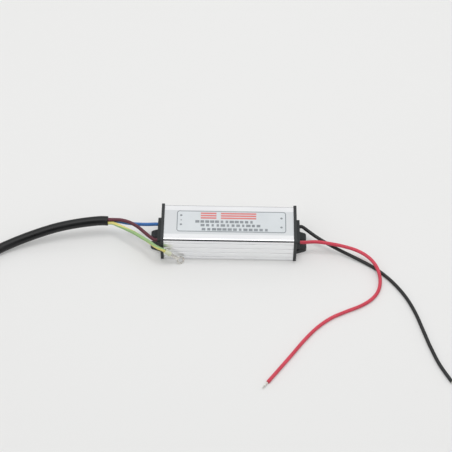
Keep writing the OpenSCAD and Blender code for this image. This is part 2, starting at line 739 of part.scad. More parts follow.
// Input cable, its cores and the earth ring
module mains_cable() {
    color([0.13, 0.13, 0.14]) tube(mains_route, cable_diameter, 10);
}
module brown_core() {
    color([0.38, 0.2, 0.16]) tube(brown_route, lead_diameter);
}
module blue_core() {
    color([0.1, 0.32, 0.65]) tube(blue_route, lead_diameter);
}
module earth_core() {
    color([0.6, 0.75, 0.15]) tube(earth_route, lead_diameter);
}
module ring_terminal() {
    last = len(earth_route) - 1;
    aim = heading(earth_route, last);
    neck = barrel_diameter * 0.7;
    color([0.8, 0.8, 0.8]) translate(earth_route[last])
        rotate([terminal_roll, -asin(aim.z), atan2(aim.y, aim.x)]) {
            rotate([0, 90, 0]) cylinder(d = barrel_diameter, h = barrel_length);
            translate([barrel_length - cut / 2, 0, 0]) rotate([0, tongue_bend, 0])
                translate([0, 0, -ring_thickness / 2]) linear_extrude(ring_thickness) difference() {
                    union() {
                        translate([0, -neck / 2]) square([tongue_length, neck]);
                        translate([tongue_length, 0]) circle(d = ring_diameter);
                    }
                    translate([tongue_length, 0]) circle(d = ring_hole);
                }
        }
}
module brown_end() {
    color([0.38, 0.2, 0.16]) tube(brown_end_route, lead_diameter);
}
module blue_end() {
    color([0.1, 0.32, 0.65]) tube(blue_end_route, lead_diameter);
}
module earth_end() {
    color([0.6, 0.75, 0.15]) tube(earth_end_route, lead_diameter);
}
module cable_tips() {
    color([0.8, 0.8, 0.8]) {
        bare_tip(brown_end_route);
        bare_tip(blue_end_route);
        bare_tip(earth_end_route);
    }
}

// Output leads
module red_lead() {
    color([0.8, 0.1, 0.16]) tube(red_route, lead_diameter);
}
module black_lead() {
    color([0.08, 0.08, 0.09]) tube(black_route, lead_diameter);
}
module lead_tips() {
    color([0.8, 0.8, 0.8]) {
        bare_tip(red_route);
        bare_tip(black_route);
    }
}

housing();
label();
input_cap();
output_cap();
input_sealant();
output_sealant();
live_tail();
neutral_tail();
positive_tail();
negative_tail();
pcb();
insulation_sheet();
fuse();
varistor();
line_capacitor();
choke_core();
choke_winding();
bridge_rectifier();
bulk_capacitor();
controller();
switch_transistor();
snubber_diode();
snubber_capacitor();
sense_resistors();
transformer_core_front();
transformer_core_rear();
transformer_bobbin();
transformer_winding();
isolation_capacitor();
output_diode();
output_capacitor();
mains_cable();
brown_core();
blue_core();
earth_core();
ring_terminal();
brown_end();
blue_end();
earth_end();
cable_tips();
red_lead();
black_lead();
lead_tips();
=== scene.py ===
"""Looks of the LED driver: camera, cords, tube, label, end caps, inner parts, table and light."""
import json
import math

import bmesh
import bpy
from mathutils import Matrix, Vector


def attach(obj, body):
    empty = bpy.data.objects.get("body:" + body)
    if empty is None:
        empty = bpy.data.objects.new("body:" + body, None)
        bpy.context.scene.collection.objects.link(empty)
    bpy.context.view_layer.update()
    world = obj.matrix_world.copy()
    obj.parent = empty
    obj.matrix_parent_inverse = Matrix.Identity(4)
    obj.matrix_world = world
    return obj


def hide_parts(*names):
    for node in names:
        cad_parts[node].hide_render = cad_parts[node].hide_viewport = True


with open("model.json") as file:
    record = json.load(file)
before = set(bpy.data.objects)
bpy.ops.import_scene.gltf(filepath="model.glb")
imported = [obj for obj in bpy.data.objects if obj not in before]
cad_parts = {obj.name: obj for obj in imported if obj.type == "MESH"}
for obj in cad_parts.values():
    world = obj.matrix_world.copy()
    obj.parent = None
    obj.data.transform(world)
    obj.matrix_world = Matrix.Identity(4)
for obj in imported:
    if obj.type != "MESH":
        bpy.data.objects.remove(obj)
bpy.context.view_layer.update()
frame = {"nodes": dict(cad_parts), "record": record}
nodes = frame["nodes"]
REPLACED = set()

MM = 0.001
SAME_PLACE = 1e-7

# Camera, solved on the corners of the tube
IMAGE_SIDE = 452
SENSOR_WIDTH = 36.0
FOCAL_PIXELS = 1519.66
CAMERA_ELEVATION = math.radians(49.9406)
CAMERA_AZIMUTH = math.radians(-0.0255)
CAMERA_ROLL = math.radians(0.992)
CAMERA_DISTANCE = 1303.58 * MM
CAMERA_TARGET = Vector((-2.4584, 7.1877, 13.0)) * MM

# Tube, as in the CAD model
CASE_LENGTH = 110 * MM
CASE_WIDTH = 40 * MM
CASE_HEIGHT = 26 * MM
CASE_WALL = 1.8 * MM
CASE_RADIUS = 2.4 * MM
GROOVE_COUNT = 4
GROOVE_RADIUS = 0.5 * MM
GROOVE_MARGIN = 4.5 * MM
# Width of the painted shade: a darker tone across the middle of the tube's top
SHADED_TOP_WIDTH = 26 * MM
CAVITY_RADIUS = 0.6 * MM
RAIL_REACH = 1.3 * MM
RAIL_THICKNESS = 1.2 * MM
LOWER_RAIL = 4.2 * MM
UPPER_RAIL = 7.2 * MM
CUT_MARGIN = 4 * MM
TUBE_BEVEL = 0.12 * MM
CAP_BEVEL = 0.15 * MM
TUBE_SIZES = {
    "Length": CASE_LENGTH, "Width": CASE_WIDTH, "Height": CASE_HEIGHT, "Wall": CASE_WALL,
    "Corner Radius": CASE_RADIUS, "Cavity Radius": CAVITY_RADIUS,
    "Groove Radius": GROOVE_RADIUS, "Groove Margin": GROOVE_MARGIN,
    "Rail Reach": RAIL_REACH, "Rail Thickness": RAIL_THICKNESS,
    "Lower Rail": LOWER_RAIL, "Upper Rail": UPPER_RAIL,
}

# Gloss of the tube: what its sides and flat top add to the roughness, and what its edges lose
SIDE_DULLNESS = 0.12
TOP_DULLNESS = 0.2
EDGE_POLISH = 0.35

# Label
LABEL_SHIFT = 2.1 * MM
LABEL_LENGTH = 93 * MM
LABEL_WIDTH = 23.2 * MM
LABEL_SETBACK = 1 * MM
LABEL_RADIUS = 2.5 * MM
LABEL_TOP = CASE_HEIGHT + 0.15 * MM
LABEL_BEVEL = 0.03 * MM
BORDER_INSETS = (0.15 * MM, 0.8 * MM)
INK_HEIGHT = 0.03 * MM
INK_BEVEL = 0.004 * MM

# Print on the label in millimetres: title bars (left, right), their lower edges,
# rows of bars (left, right, low, high, count, seed) and dots (x, y, radius)
TITLE_BARS = {"left": (-24.8, -10.0), "right": (-8.6, 24.8)}
TITLE_LOWS = (3.9, 6.5, 9.1)
TITLE_HEIGHT = 1.6
PRINT_ROWS = (
    (-28.9, 21.2, -0.7, 2.1, 12, 3),
    (-24.5, 27.2, -4.7, -2.0, 12, 7),
    (-23.6, 33.9, -9.1, -6.4, 13, 11),
)
SHORTEST_BAR = 0.45
BAR_SHARE = 0.9
DOTS = ((-40.7, 7.3, 1.05), (-40.6, 2.1, 0.6), (-40.7, -2.8, 1.05), (44.6, 5.5, 1.05), (44.5, -4.5, 1.05))

# Cords
LEAD_DIAMETER = 3 * MM
CABLE_DIAMETER = 8.2 * MM
CONDUCTOR_DIAMETER = 1.4 * MM
BARE_END = 7 * MM
IN_HOLE = 1.2 * MM
IN_JACKET = 1.5 * MM
IN_BARREL = 1.0 * MM
LEAD_SIDES = 20
CABLE_SIDES = 32
RING_SPACING = 1.5 * MM
STRAND_COUNT = 6
STRAND_TWIST = 2.4

# Ring terminal
BARREL_LENGTH = 6 * MM
BARREL_DIAMETER = 4.2 * MM
TONGUE_START = 5.5 * MM
TONGUE_LENGTH = 12 * MM
TONGUE_WIDTH = 2.94 * MM
TONGUE_BEND = math.radians(6)
TERMINAL_ROLL = math.radians(50)
RING_DIAMETER = 7 * MM
RING_HOLE = 4.3 * MM
RING_THICKNESS = 0.8 * MM

# Table, and the share of its white that doesn't depend on the light
TABLE_HALF = 8.0
TABLE_WHITE = (235, 235, 234)
TABLE_GLOW = 0.25

# Dark card behind the camera, which the tube's front edge mirrors as a thin line
CARD_HALF_WIDTH = 0.25
CARD_FOOT = (-1.6, 0.05)
CARD_HEAD = (-0.5, 1.52)

# Room, dimmer near the table than above it, and the lamps over the table
ROOM_DIM = 0.37
ROOM_BRIGHT = 0.87
ROOM_FADE = (0.05, 0.6)
LAMP_HEIGHT = 1.3

# Routes of the cords in millimetres, from the CAD model
RED_ROUTE = [
    (60.6, -8.7, 12), (64.6, -8.7, 12), (74, -8, 12.1), (86, -9, 11.3), (98, -10.8, 10), (109, -13.6, 8.4),
    (117, -17.8, 6.9), (122.6, -23.2, 5.7), (126, -29.6, 4.9), (127.9, -37, 3.6), (127.9, -45, 2.2),
    (125.4, -53.2, 1.5), (120, -60.6, 1.5), (111, -67.4, 1.5), (99, -73.4, 1.5), (86.4, -80.2, 1.5),
    (74.6, -90, 1.5), (64, -102.4, 1.5), (52, -119.2, 1.5), (40, -135.8, 1.5), (33, -145.4, 1.5),
]
BLACK_ROUTE = [
    (60.6, 8.7, 12), (62.6, 8.7, 12), (67, 5.6, 11.2), (74, 0.4, 9.6), (83, -4.8, 7.4), (94, -10.2, 4.9),
    (105, -15.4, 2.9), (115, -20.8, 1.8), (124.6, -27.4, 1.5), (133.4, -35.8, 1.5), (141.7, -46, 1.5),
    (149.3, -58.4, 1.5), (155.7, -73.6, 1.5), (160.7, -90.6, 1.5), (165.6, -107.6, 1.5),
    (171.8, -125.2, 1.5), (180.4, -142, 1.5),
]
BROWN_ROUTE = [
    (-60.6, -8.7, 12), (-63, -8.7, 12), (-67, -6.2, 12.7), (-72.4, -2, 14.3), (-78, 2.4, 15.8),
    (-84.6, 6, 16.9), (-92, 8.4, 17.1), (-99, 9, 16.75), (-103.6, 9, 16.75),
]
BLUE_ROUTE = [
    (-60.6, 8.7, 12), (-64, 8.7, 12), (-70, 8.3, 12), (-78, 8.1, 12.4), (-86, 8.4, 13),
    (-93, 9.4, 13.6), (-99.6, 10.52, 14.12), (-103.6, 10.52, 14.12),
]
EARTH_ROUTE = [
    (-103.6, 7.48, 14.12), (-100, 7.48, 14.12), (-94.6, 4.8, 14.1), (-88, 1, 14.4), (-81, -3.6, 15),
    (-74, -9.2, 15.8), (-67.6, -14.8, 16.9), (-62.4, -19.9, 17.7), (-58.6, -22.6, 17.8),
    (-55.8, -22.9, 16.6), (-53.8, -23.1, 15),
]
MAINS_ROUTE = [
    (-103.6, 9, 15), (-110, 9, 15), (-121, 7.6, 14.8), (-134, 5.4, 14), (-147, 2.8, 12.4),
    (-160, -0.7, 10.2), (-172, -4.6, 7.9), (-184, -9.4, 5.8), (-195, -15.2, 4.5), (-205, -23.4, 4.1),
    (-212, -36, 4.1), (-216, -52, 4.1), (-216.6, -72, 4.1), (-214, -94, 4.1), (-212, -116, 4.1),
    (-212, -138, 4.1),
]
BROWN_END_ROUTE = [
    (-212, -138, 5.85), (-212, -142, 5.85), (-211, -151, 2.4), (-209.4, -158, 1.5), (-207.8, -163, 1.5),
]
BLUE_END_ROUTE = [(-213.52, -138, 3.22), (-213.52, -142, 3.22), (-216, -151, 1.5), (-220.4, -163, 1.5)]
EARTH_END_ROUTE = [(-210.48, -138, 3.22), (-210.48, -142, 3.22), (-206.4, -151, 1.5), (-200, -160.4, 1.5)]


# Helpers for objects and node trees

FLOAT = "NodeSocketFloat"
INTEGER = "NodeSocketInt"
VECTOR = "NodeSocketVector"
COLOUR = "NodeSocketColor"
MATERIAL = "NodeSocketMaterial"
GEOMETRY = "NodeSocketGeometry"


def colour(red, green, blue):
    """A display colour from 0 to 255 as the linear colour that shaders take."""
    linear = [c / 12.92 if c <= 0.04045 else ((c + 0.055) / 1.055) ** 2.4
              for c in (red / 255, green / 255, blue / 255)]
    return (*linear, 1.0)


def put(tree, kind, inputs=None, **settings):
    """Adds a node; an input is a value or the socket that feeds it."""
    node = tree.nodes.new(kind)
    for name, value in settings.items():
        setattr(node, name, value)
    for key, value in (inputs or {}).items():
        if isinstance(value, bpy.types.NodeSocket):
            tree.links.new(value, node.inputs[key])
        else:
            node.inputs[key].default_value = value
    return node


def out(tree, kind, inputs=None, **settings):
    """The first output of a new node."""
    return put(tree, kind, inputs, **settings).outputs[0]


def maths(tree, operation, first, second=0.0):
    """The result of one operation on sockets or values."""
    return out(tree, "ShaderNodeMath", {0: first, 1: second}, operation=operation)


def vector(tree, x=0.0, y=0.0, z=0.0):
    """A vector from three sockets or values."""
    return out(tree, "ShaderNodeCombineXYZ", {0: x, 1: y, 2: z})


def mixed(tree, share, first, second):
    """A colour between two others; a share of 0 gives the first."""
    return put(tree, "ShaderNodeMix", {0: share, 6: first, 7: second}, data_type="RGBA").outputs[2]


def ramp(tree, value, low, high, to_low=0.0, to_high=1.0):
    """A value that goes evenly from one level to another between two marks."""
    return out(tree, "ShaderNodeMapRange", {
        "Value": value, "From Min": low, "From Max": high, "To Min": to_low, "To Max": to_high,
    })


def new_group(name, kind, inputs, outputs):
    """A node group with named sockets; returns it with its inner ends."""
    tree = bpy.data.node_groups.new(name, kind)
    for label, socket_type in inputs.items():
        tree.interface.new_socket(label, in_out="INPUT", socket_type=socket_type)
    for label, socket_type in outputs.items():
        tree.interface.new_socket(label, in_out="OUTPUT", socket_type=socket_type)
    return tree, tree.nodes.new("NodeGroupInput").outputs, tree.nodes.new("NodeGroupOutput").inputs


def end_shape(tree, geometry, given, result):
    """Ends a tree with real geometry in its material."""
    real = out(tree, "GeometryNodeRealizeInstances", {"Geometry": geometry})
    done = out(tree, "GeometryNodeSetMaterial", {"Geometry": real, "Material": given["Material"]})
    tree.links.new(done, result["Geometry"])
    return tree


def axes(tree, where):
    """The three parts of a vector."""
    return put(tree, "ShaderNodeSeparateXYZ", {0: where}).outputs


def noise(tree, where, scale, detail):
    """Soft noise between 0 and 1."""
    return out(tree, "ShaderNodeTexNoise", {"Vector": where, "Scale": scale, "Detail": detail})


def new_object(name, data):
    """An object in the scene."""
    piece = bpy.data.objects.new(name, data)
    bpy.context.scene.collection.objects.link(piece)
    return piece


def smooth(mesh, degrees):
    """Smooth shading, but for edges sharper than the angle."""
    mesh.shade_smooth()
    mesh.set_sharp_from_angle(angle=math.radians(degrees))


def mended(mesh):
    """Merges points that share a place, and turns the faces outwards."""
    work = bmesh.new()
    work.from_mesh(mesh)
    bmesh.ops.remove_doubles(work, verts=work.verts, dist=SAME_PLACE)
    bmesh.ops.recalc_face_normals(work, faces=work.faces)
    work.to_mesh(mesh)
    work.free()


def baked(piece):
    """Turns what the modifiers make into the piece's own plain mesh."""
    depsgraph = bpy.context.evaluated_depsgraph_get()
    mesh = bpy.data.meshes.new_from_object(piece.evaluated_get(depsgraph), depsgraph=depsgraph)
    piece.modifiers.clear()
    piece.data = mesh
    return piece


def declare(piece, slot, *replaced):
    """Tells the frame what a piece rides on and the CAD nodes that it replaces; the slot is not used."""
    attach(piece, "root")
    if replaced:
        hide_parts(*replaced)
        REPLACED.update(replaced)
    return piece


# Shared effects of the finishes

def make_blotches():
    """Slow drift between two tones of one colour."""
    tree, given, result = new_group("colour_blotches", "ShaderNodeTree", {
        "Where": VECTOR, "Size": FLOAT, "Light": COLOUR, "Dark": COLOUR,
    }, {"Colour": COLOUR})
    scale = maths(tree, "DIVIDE", 1.0, given["Size"])
    share = ramp(tree, noise(tree, given["Where"], scale, 3.0), 0.32, 0.68)
    tree.links.new(mixed(tree, share, given["Dark"], given["Light"]), result["Colour"])
    return tree


def make_gloss_patches():
    """Roughness that changes a little over the surface, as handling leaves it."""
    tree, given, result = new_group("gloss_patches", "ShaderNodeTree", {
        "Where": VECTOR, "Size": FLOAT, "Low": FLOAT, "High": FLOAT,
    }, {"Roughness": FLOAT})
    scale = maths(tree, "DIVIDE", 1.0, given["Size"])
    patches = noise(tree, given["Where"], scale, 5.0)
    tree.links.new(ramp(tree, patches, 0.3, 0.7, given["Low"], given["High"]), result["Roughness"])
    return tree


def make_grain():
    """Fine pebbled relief of a moulded or extruded skin."""
    tree, given, result = new_group("moulded_grain", "ShaderNodeTree", {
        "Where": VECTOR, "Size": FLOAT,
    }, {"Height": FLOAT})
    where = given["Where"]
    scale = maths(tree, "DIVIDE", 1.0, given["Size"])
    cells = put(tree, "ShaderNodeTexVoronoi", {"Vector": where, "Scale": scale}, feature="SMOOTH_F1")
    waves = noise(tree, where, maths(tree, "MULTIPLY", scale, 0.5), 2.0)
    tree.links.new(maths(tree, "ADD", cells.outputs["Distance"], waves), result["Height"])
    return tree


def make_drawn_lines():
    """Fine lines along X, as the die leaves them."""
    tree, given, result = new_group("drawn_lines", "ShaderNodeTree", {
        "Where": VECTOR, "Width": FLOAT, "Length": FLOAT,
    }, {"Height": FLOAT})
    across = maths(tree, "DIVIDE", 1.0, given["Width"])
    along = maths(tree, "DIVIDE", 1.0, given["Length"])
    stretch = vector(tree, along, across, across)
    place = out(tree, "ShaderNodeVectorMath", {0: given["Where"], 1: stretch}, operation="MULTIPLY")
    tree.links.new(noise(tree, place, 1.0, 4.0), result["Height"])
    return tree


BLOTCHES = make_blotches()
GLOSS_PATCHES = make_gloss_patches()
GRAIN = make_grain()
DRAWN_LINES = make_drawn_lines()


def effect(tree, group, **inputs):
    """One of the shared effects, as a node of a material."""
    return out(tree, "ShaderNodeGroup", inputs, node_tree=group)


def finish(name, light, dark, roughness, grain, depth, blotch=0.012, lines=None, **constants):
    """A material with drifting colour, patchy gloss and fine relief; sizes are in metres."""
    material = bpy.data.materials.new(name)
    material.use_nodes = True
    tree = material.node_tree
    tree.nodes.clear()
    where = put(tree, "ShaderNodeTexCoord").outputs["Object"]
    if lines:
        height = effect(tree, DRAWN_LINES, Where=where, Width=grain, Length=lines)
    else:
        height = effect(tree, GRAIN, Where=where, Size=grain)
    bump = out(tree, "ShaderNodeBump", {"Height": height, "Distance": depth, "Strength": 1.0})
    tone = effect(tree, BLOTCHES, Where=where, Size=blotch, Light=colour(*light), Dark=colour(*dark))
    gloss = effect(tree, GLOSS_PATCHES, Where=where, Size=blotch, Low=roughness[0], High=roughness[1])
    shader = put(tree, "ShaderNodeBsdfPrincipled", {"Base Color": tone, "Roughness": gloss, "Normal": bump})
    for key, value in constants.items():
        shader.inputs[key.replace("_", " ")].default_value = value
    put(tree, "ShaderNodeOutputMaterial", {"Surface": shader.outputs[0]})
    return material


def shader_of(material):
    """The material's Principled node."""
    return next(n for n in material.node_tree.nodes if n.type == "BSDF_PRINCIPLED")


def insulation(name, light, dark):
    """Smooth, slightly glossy skin of a core or lead."""
    return finish(name, light, dark, (0.3, 0.45), 0.5 * MM, 0.01 * MM)


def ink(name, light, dark):
    """Thin print on the label."""
    return finish(name, light, dark, (0.35, 0.5), 0.2 * MM, 0.002 * MM, blotch=0.004)


def earth_finish(name, turn_length):
    """Green and yellow halves that wind slowly round the core, on the tube's own UV map."""
    material = insulation(name, (232, 222, 132), (226, 214, 120))
    green = colour(157, 192, 132)
    blur = 0.12
    tree = material.node_tree
    shader = shader_of(material)
    place = axes(tree, out(tree, "ShaderNodeUVMap", uv_map="UVMap"))
    around = maths(tree, "ADD", place[0], maths(tree, "DIVIDE", place[1], turn_length))
    wave = maths(tree, "SINE", maths(tree, "MULTIPLY", around, math.tau))
    yellow = shader.inputs["Base Color"].links[0].from_socket
    halves = mixed(tree, ramp(tree, wave, -blur, blur), yellow, green)
    tree.links.new(halves, shader.inputs["Base Color"])
    return material


def winding_finish(name, light, dark, wire, axis):
    """Rows of enamelled wire, one ridge for each turn along the given axis."""
    material = finish(name, light, dark, (0.22, 0.36), 0.6 * MM, 0.01 * MM, Metallic=0.6)
    relief = 0.2
    tree = material.node_tree
    where = put(tree, "ShaderNodeTexCoord").outputs["Object"]
    place = axes(tree, where)[axis]
    ridge = maths(tree, "SINE", maths(tree, "MULTIPLY", place, math.tau / wire))
    bump = out(tree, "ShaderNodeBump", {"Height": ridge, "Distance": wire * relief, "Strength": 1.0})
    tree.links.new(bump, shader_of(material).inputs["Normal"])
    return material


def board_finish(name):
    """Green lacquer over a faint pattern of tracks."""
    material = finish(name, (32, 96, 52), (22, 74, 42), (0.25, 0.4), 0.5 * MM, 0.01 * MM, blotch=0.006)
    track = colour(46, 122, 66)
    tree = material.node_tree
    where = put(tree, "ShaderNodeTexCoord").outputs["Object"]
    tracks = put(tree, "ShaderNodeTexBrick", {
        "Vector": where, "Scale": 1.0, "Mortar Size": 0.7 * MM,
        "Brick Width": 13 * MM, "Row Height": 5.2 * MM,
    })
    base = shader_of(material).inputs["Base Color"]
    tree.links.new(mixed(tree, tracks.outputs["Fac"], base.links[0].from_socket, track), base)
    return material


def aluminium_finish(name):
    """Anodised metal with lines from the die: polished edges, duller flats, and painted shade: a darker tone
    across the middle of the top, round the label.
    """
    material = finish(name, (247, 248, 249), (243, 244, 246), (0.2, 0.25), 0.3 * MM, 0.0002 * MM,
                      blotch=0.03, lines=0.6, Metallic=1.0)
    # Painted shade: the middle of the top, round the label, gets a darker tone than the strips along its
    # edges
    painted_shade_tone = colour(226, 229, 231)
    shaded_top_fade = 0.3 * MM
    side_fade = 0.8 * MM
    slack = 0.1 * MM
    edge_start = CASE_HEIGHT - CASE_RADIUS
    tree = material.node_tree
    base = shader_of(material).inputs["Base Color"]
    roughness = shader_of(material).inputs["Roughness"]
    where = put(tree, "ShaderNodeTexCoord").outputs["Object"]
    place = axes(tree, where)
    off_middle = maths(tree, "ABSOLUTE", place[1])
    on_top = maths(tree, "GREATER_THAN", place[2], CASE_HEIGHT - slack)
    past_flat = maths(tree, "GREATER_THAN", off_middle, CASE_WIDTH / 2 - CASE_RADIUS)
    # Share of the painted shade, which fades out towards the strips along the top's edges
    in_shaded_top = ramp(tree, off_middle, SHADED_TOP_WIDTH / 2, SHADED_TOP_WIDTH / 2 + shaded_top_fade, 1.0, 0.0)
    shaded_top_share = maths(tree, "MULTIPLY", in_shaded_top, on_top)
    tree.links.new(mixed(tree, shaded_top_share, base.links[0].from_socket, painted_shade_tone), base)
    at_edge = maths(tree, "MULTIPLY", past_flat, maths(tree, "GREATER_THAN", place[2], edge_start))
    kept = maths(tree, "SUBTRACT", 1.0, maths(tree, "MULTIPLY", at_edge, EDGE_POLISH))
    gloss = maths(tree, "MULTIPLY", roughness.links[0].from_socket, kept)
    below_edge = ramp(tree, place[2], edge_start - side_fade, edge_start, 1.0, 0.0)
    at_side = maths(tree, "GREATER_THAN", off_middle, CASE_WIDTH / 2 - GROOVE_RADIUS - slack / 2)
    side_share = maths(tree, "MULTIPLY", below_edge, at_side)
    top_share = maths(tree, "MULTIPLY", on_top, maths(tree, "SUBTRACT", 1.0, past_flat))
    for share, dullness in ((side_share, SIDE_DULLNESS), (top_share, TOP_DULLNESS)):
        gloss = maths(tree, "ADD", gloss, maths(tree, "MULTIPLY", share, dullness))
    tree.links.new(gloss, roughness)
    return material


# Plain finishes by slot: two tones, roughness, and the width and depth of the grain
PLAIN_FINISHES = {
    "fuse_body": ((54, 56, 60), (40, 42, 46), (0.3, 0.45), 0.4 * MM, 0.01 * MM),
    "blue_coating": ((38, 104, 178), (28, 84, 152), (0.2, 0.4), 1.0 * MM, 0.05 * MM),
    "brown_coating": ((168, 88, 42), (140, 68, 32), (0.2, 0.4), 1.0 * MM, 0.05 * MM),
    "yellow_case": ((222, 182, 58), (206, 164, 46), (0.3, 0.45), 0.4 * MM, 0.01 * MM),
    "ferrite": ((66, 64, 64), (48, 46, 47), (0.5, 0.75), 0.25 * MM, 0.02 * MM),
    "black_epoxy": ((40, 40, 42), (30, 30, 32), (0.4, 0.6), 0.25 * MM, 0.012 * MM),
    "can_sleeve": ((34, 40, 62), (26, 30, 50), (0.2, 0.36), 0.8 * MM, 0.02 * MM),
    "bobbin_plastic": ((44, 44, 46), (32, 32, 34), (0.35, 0.5), 0.4 * MM, 0.012 * MM),
    "yellow_tape": ((232, 200, 72), (222, 186, 58), (0.25, 0.4), 1.0 * MM, 0.02 * MM),
}
INSULATION_TONES = {
    "brown_insulation": ((100, 41, 57), (86, 33, 47)),
    "blue_insulation": ((62, 122, 192), (52, 108, 176)),
    "red_insulation": ((214, 68, 88), (204, 58, 78)),
    "black_insulation": ((26, 28, 28), (18, 20, 20)),
}
MATERIALS = {
    "aluminium": aluminium_finish("anodised_aluminium"),
    "label_film": finish("label_film", (219, 224, 227), (213, 218, 221), (0.34, 0.5), 0.12 * MM, 0.002 * MM,
                         blotch=0.02, lines=0.05, Metallic=0.15),
    "cap_plastic": finish("moulded_black", (45, 49, 50), (37, 41, 42), (0.42, 0.6), 0.35 * MM, 0.012 * MM),
    "sealant": finish("sealing_compound", (62, 62, 64), (46, 46, 48), (0.3, 0.5), 1.2 * MM, 0.08 * MM),
    "earth_insulation": earth_finish("earth_insulation", 84 * MM),
    "cable_jacket": finish("cable_jacket", (19, 20, 21), (14, 15, 16), (0.26, 0.38), 0.6 * MM, 0.02 * MM,
                           Specular_IOR_Level=0.4),
    "tinned_metal": finish("tinned_metal", (232, 231, 224), (216, 215, 208), (0.2, 0.36), 0.3 * MM,
                           0.008 * MM, blotch=0.002, Metallic=1.0),
    "board": board_finish("board_lacquer"),
    "film": finish("polyester_film", (226, 222, 206), (214, 208, 190), (0.2, 0.35), 0.8 * MM, 0.01 * MM),
    "copper_wire": winding_finish("copper_winding", (196, 112, 64), (166, 84, 44), 0.4 * MM, 2),
    **{slot: insulation(slot, *tones) for slot, tones in INSULATION_TONES.items()},
    **{slot: finish(slot, *looks) for slot, looks in PLAIN_FINISHES.items()},
}
SLEEVE = finish("pale_sleeve", (224, 227, 202), (214, 218, 190), (0.25, 0.4), 0.5 * MM, 0.01 * MM,
                blotch=0.003)
RED_INK = ink("red_ink", (222, 128, 126), (216, 116, 116))
DARK_INK = ink("dark_ink", (146, 152, 156), (134, 140, 144))
LINE_INK = ink("line_ink", (134, 140, 145), (124, 130, 135))


# Camera

def make_camera():
    """The photo's camera: square picture, aimed at the target and rolled a little."""
    back = Vector((math.sin(CAMERA_AZIMUTH) * math.cos(CAMERA_ELEVATION),
                   -math.cos(CAMERA_AZIMUTH) * math.cos(CAMERA_ELEVATION), math.sin(CAMERA_ELEVATION)))
    right = Vector((math.cos(CAMERA_AZIMUTH), math.sin(CAMERA_AZIMUTH), 0))
    up = back.cross(right)
    rolled_right = math.cos(CAMERA_ROLL) * right + math.sin(CAMERA_ROLL) * up
    rolled_up = math.cos(CAMERA_ROLL) * up - math.sin(CAMERA_ROLL) * right
    data = bpy.data.cameras.new("photo_camera")
    data.sensor_width = SENSOR_WIDTH
    data.lens = FOCAL_PIXELS / IMAGE_SIDE * SENSOR_WIDTH
    camera = new_object("photo_camera", data)
    turn = Matrix((rolled_right, rolled_up, back)).transposed().to_4x4()
    camera.matrix_world = Matrix.Translation(CAMERA_TARGET + CAMERA_DISTANCE * back) @ turn
    bpy.context.scene.camera = camera


# Cords

def smooth_route(points, radius, step=0.5 * MM):
    """One smooth curve through the points, in metres, that lies on the table and never in it."""
    knots = [Vector(p) * MM for p in points]
    knots = [2 * knots[0] - knots[1], *knots, 2 * knots[-1] - knots[-2]]
    path = []
    for before, start, end, after in zip(knots, knots[1:], knots[2:], knots[3:]):
        t1 = (start - before).length ** 0.5
        t2 = t1 + (end - start).length ** 0.5
        t3 = t2 + (after - end).length ** 0.5
        count = max(2, round((end - start).length / step))
        for i in range(count):
            t = t1 + (t2 - t1) * i / count
            a1 = before.lerp(start, t / t1)
            a2 = start.lerp(end, (t - t1) / (t2 - t1))
            a3 = end.lerp(after, (t - t2) / (t3 - t2))
            b1 = a1.lerp(a2, t / t2)
            b2 = a2.lerp(a3, (t - t1) / (t3 - t1))
            point = b1.lerp(b2, (t - t1) / (t2 - t1))
            point.z = max(point.z, radius)
            path.append(point)
    path.append(knots[-2])
    return path


class Line:
    """A path that is measured from its start and carries on straight past both ends."""

    def __init__(self, path):
        self.path = path
        self.marks = [0.0]
        for a, b in zip(path, path[1:]):
            self.marks.append(self.marks[-1] + (b - a).length)
        self.length = self.marks[-1]
        last = len(path) - 1
        self.headings = [(path[min(i + 1, last)] - path[max(i - 1, 0)]).normalized()
                         for i in range(last + 1)]
        side = self.headings[0].cross(Vector((0, 0, 1))).normalized()
        self.sides = []
        for heading in self.headings:
            side = (side - side.dot(heading) * heading).normalized()
            self.sides.append(side)

    def at(self, distance):
        """Place, heading and side at a distance from the start."""
        if distance <= 0:
            return self.path[0] + distance * self.headings[0], self.headings[0], self.sides[0]
        if distance >= self.length:
            over = distance - self.length
            return self.path[-1] + over * self.headings[-1], self.headings[-1], self.sides[-1]
        i = next(i for i in range(len(self.marks) - 1) if self.marks[i + 1] >= distance)
        share = (distance - self.marks[i]) / (self.marks[i + 1] - self.marks[i])
        place = self.path[i].lerp(self.path[i + 1], share)
        heading = self.headings[i].lerp(self.headings[i + 1], share).normalized()
        return place, heading, self.sides[i].lerp(self.sides[i + 1], share)


def tube(name, line, rings, sides, material):
    """A closed tube of rings, each a distance along the line and a radius, with a UV map along it."""
    points = []
    for distance, radius in rings:
        place, heading, side = line.at(distance)
        other = heading.cross(side)
        for k in range(sides):
            angle = math.tau * k / sides
            points.append(place + radius * (math.cos(angle) * side + math.sin(angle) * other))
    faces = []
    corners = []
    for i in range(len(rings) - 1):
        for k in range(sides):
            after = (k + 1) % sides
            faces.append((i * sides + k, i * sides + after, (i + 1) * sides + after, (i + 1) * sides + k))
            u, v = k / sides, (k + 1) / sides
            corners += [(u, rings[i][0]), (v, rings[i][0]), (v, rings[i + 1][0]), (u, rings[i + 1][0])]
    last = (len(rings) - 1) * sides
    faces.append(tuple(reversed(range(sides))))
    faces.append(tuple(range(last, last + sides)))
    corners += [(k / sides, rings[0][0]) for k in reversed(range(sides))]
    corners += [(k / sides, rings[-1][0]) for k in range(sides)]
    mesh = bpy.data.meshes.new(name)
    mesh.from_pydata(points, [], faces)
    layer = mesh.uv_layers.new(name="UVMap")
    for loop, corner in zip(layer.data, corners):
        loop.uv = corner
    smooth(mesh, 40)
    mesh.materials.append(material)
    return new_object(name, mesh)


def body_rings(start, end, radius):
    """Evenly spaced rings of one radius."""
    count = max(1, round((end - start) / RING_SPACING))
    return [(start + (end - start) * i / count, radius) for i in range(count + 1)]


